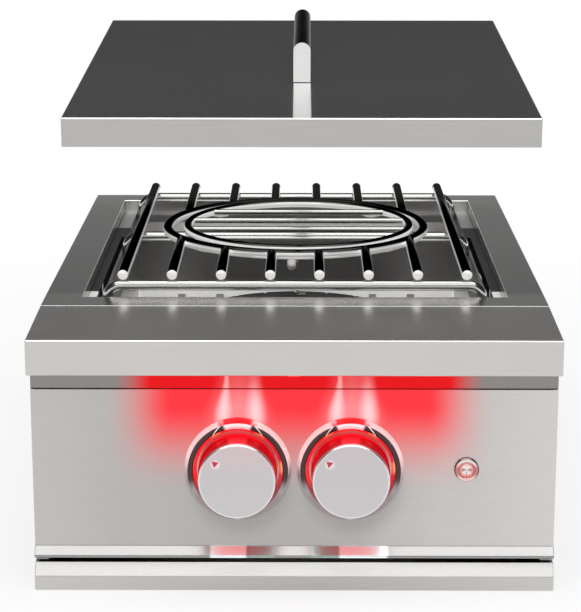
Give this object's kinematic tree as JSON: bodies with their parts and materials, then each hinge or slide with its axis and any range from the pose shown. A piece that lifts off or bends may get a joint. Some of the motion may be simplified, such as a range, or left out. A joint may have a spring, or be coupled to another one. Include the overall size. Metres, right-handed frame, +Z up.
{
  "type": "built-in side burner",
  "caption": "Stainless built-in side burner with lift-off lid, bar grate with ring insert, lit knobs, push button and a pull-out drip tray.",
  "frame": {"origin": "Centre of the bounding box in plan, on its lowest plane.", "axes": "+X to the right seen from the front, +Y from the front to the back, +Z up."},
  "size_m": [0.47, 0.672, 0.4822],
  "materials": {
    "deck_steel": "brushed stainless steel",
    "bright_steel": "brushed stainless steel, brighter face",
    "plain_steel": "plain mill finish steel",
    "well_steel": "stainless steel in shade",
    "chrome": "polished",
    "grate_steel": "polished rod with dark reflections",
    "knob_metal": "satin metal",
    "red_light": "lit red lens",
    "red_mark": "red mark",
    "brass": "machined",
    "cast_iron": "cast, dark",
    "ceramic": "glazed ceramic",
    "black_plastic": "moulded"
  },
  "bodies": {
    "casing": {"deck_frame": "deck_steel", "nose_shelf": "bright_steel", "front_panel": "bright_steel", "light_rail": "bright_steel", "left_side_panel": "plain_steel", "right_side_panel": "plain_steel", "back_panel": "plain_steel", "base_pan": "plain_steel", "burner_cradle": "plain_steel", "igniter_bracket": "plain_steel", "gas_manifold": "plain_steel", "button_nut": "plain_steel", "left_tray_runner": "plain_steel", "right_tray_runner": "plain_steel", "left_venturi": "plain_steel", "right_venturi": "plain_steel", "well_liner": "well_steel", "rear_baffle": "well_steel", "left_channel_cover": "well_steel", "right_channel_cover": "well_steel", "left_grate_ledge": "well_steel", "right_grate_ledge": "well_steel", "left_bezel": "chrome", "right_bezel": "chrome", "button_housing": "chrome", "light_strip": "red_light", "button_light": "red_light", "left_bezel_light": "red_light", "right_bezel_light": "red_light", "left_gas_valve": "brass", "right_gas_valve": "brass", "left_gas_orifice": "brass", "right_gas_orifice": "brass", "gas_inlet": "brass", "burner_base": "cast_iron", "outer_burner_cap": "cast_iron", "inner_burner_cap": "cast_iron", "igniter": "ceramic", "spark_module": "black_plastic"},
    "lid": {"lid": "deck_steel", "lid_handle": "chrome"},
    "grate": {"grate_front_rod": "chrome", "grate_middle_rod": "chrome", "grate_rear_rod": "chrome", "grate_left_bar": "grate_steel", "grate_right_bar": "grate_steel", "grate_ring": "grate_steel"},
    "insert": {"ring_insert": "chrome"},
    "drip_tray": {"drip_tray": "plain_steel", "drip_tray_front": "bright_steel"},
    "left_plug": {"left_valve_plug": "brass"},
    "right_plug": {"right_valve_plug": "brass"},
    "left_knob": {"left_knob": "knob_metal", "left_knob_pointer": "red_mark", "left_valve_stem": "plain_steel"},
    "right_knob": {"right_knob": "knob_metal", "right_knob_pointer": "red_mark", "right_valve_stem": "plain_steel"},
    "ignition_button": {"ignition_button": "knob_metal"}
  },
  "joints": [
    {"name": "lid_lift", "type": "hinge", "parent": "casing", "child": "lid", "pos_m": [0, -2.54052, -0.92329], "axis": [0.9993, 0, -0.0383], "range_deg": [-3.9, 0]},
    {"name": "grate_lift", "type": "slide", "parent": "casing", "child": "grate", "axis": [0, 0, 1], "range_m": [0, 0.07]},
    {"name": "insert_lift", "type": "slide", "parent": "grate", "child": "insert", "axis": [0, 0, 1], "range_m": [0, 0.05]},
    {"name": "tray_slide", "type": "slide", "parent": "casing", "child": "drip_tray", "axis": [0, -1, 0], "range_m": [0, 0.4]},
    {"name": "left_valve_turn", "type": "hinge", "parent": "casing", "child": "left_plug", "pos_m": [-0.05, -0.27, 0.1125], "axis": [0, -1, 0], "range_deg": [0, 210]},
    {"name": "left_knob_push", "type": "slide", "parent": "left_plug", "child": "left_knob", "axis": [0, 1, 0], "range_m": [0, 0.004], "stiffness_N_per_m": 1500, "springref_m": -0.002},
    {"name": "right_valve_turn", "type": "hinge", "parent": "casing", "child": "right_plug", "pos_m": [0.05, -0.27, 0.1125], "axis": [0, -1, 0], "range_deg": [0, 210]},
    {"name": "right_knob_push", "type": "slide", "parent": "right_plug", "child": "right_knob", "axis": [0, 1, 0], "range_m": [0, 0.004], "stiffness_N_per_m": 1500, "springref_m": -0.002},
    {"name": "button_push", "type": "slide", "parent": "casing", "child": "ignition_button", "axis": [0, 1, 0], "range_m": [0, 0.002], "stiffness_N_per_m": 800, "springref_m": -0.001}
  ]
}
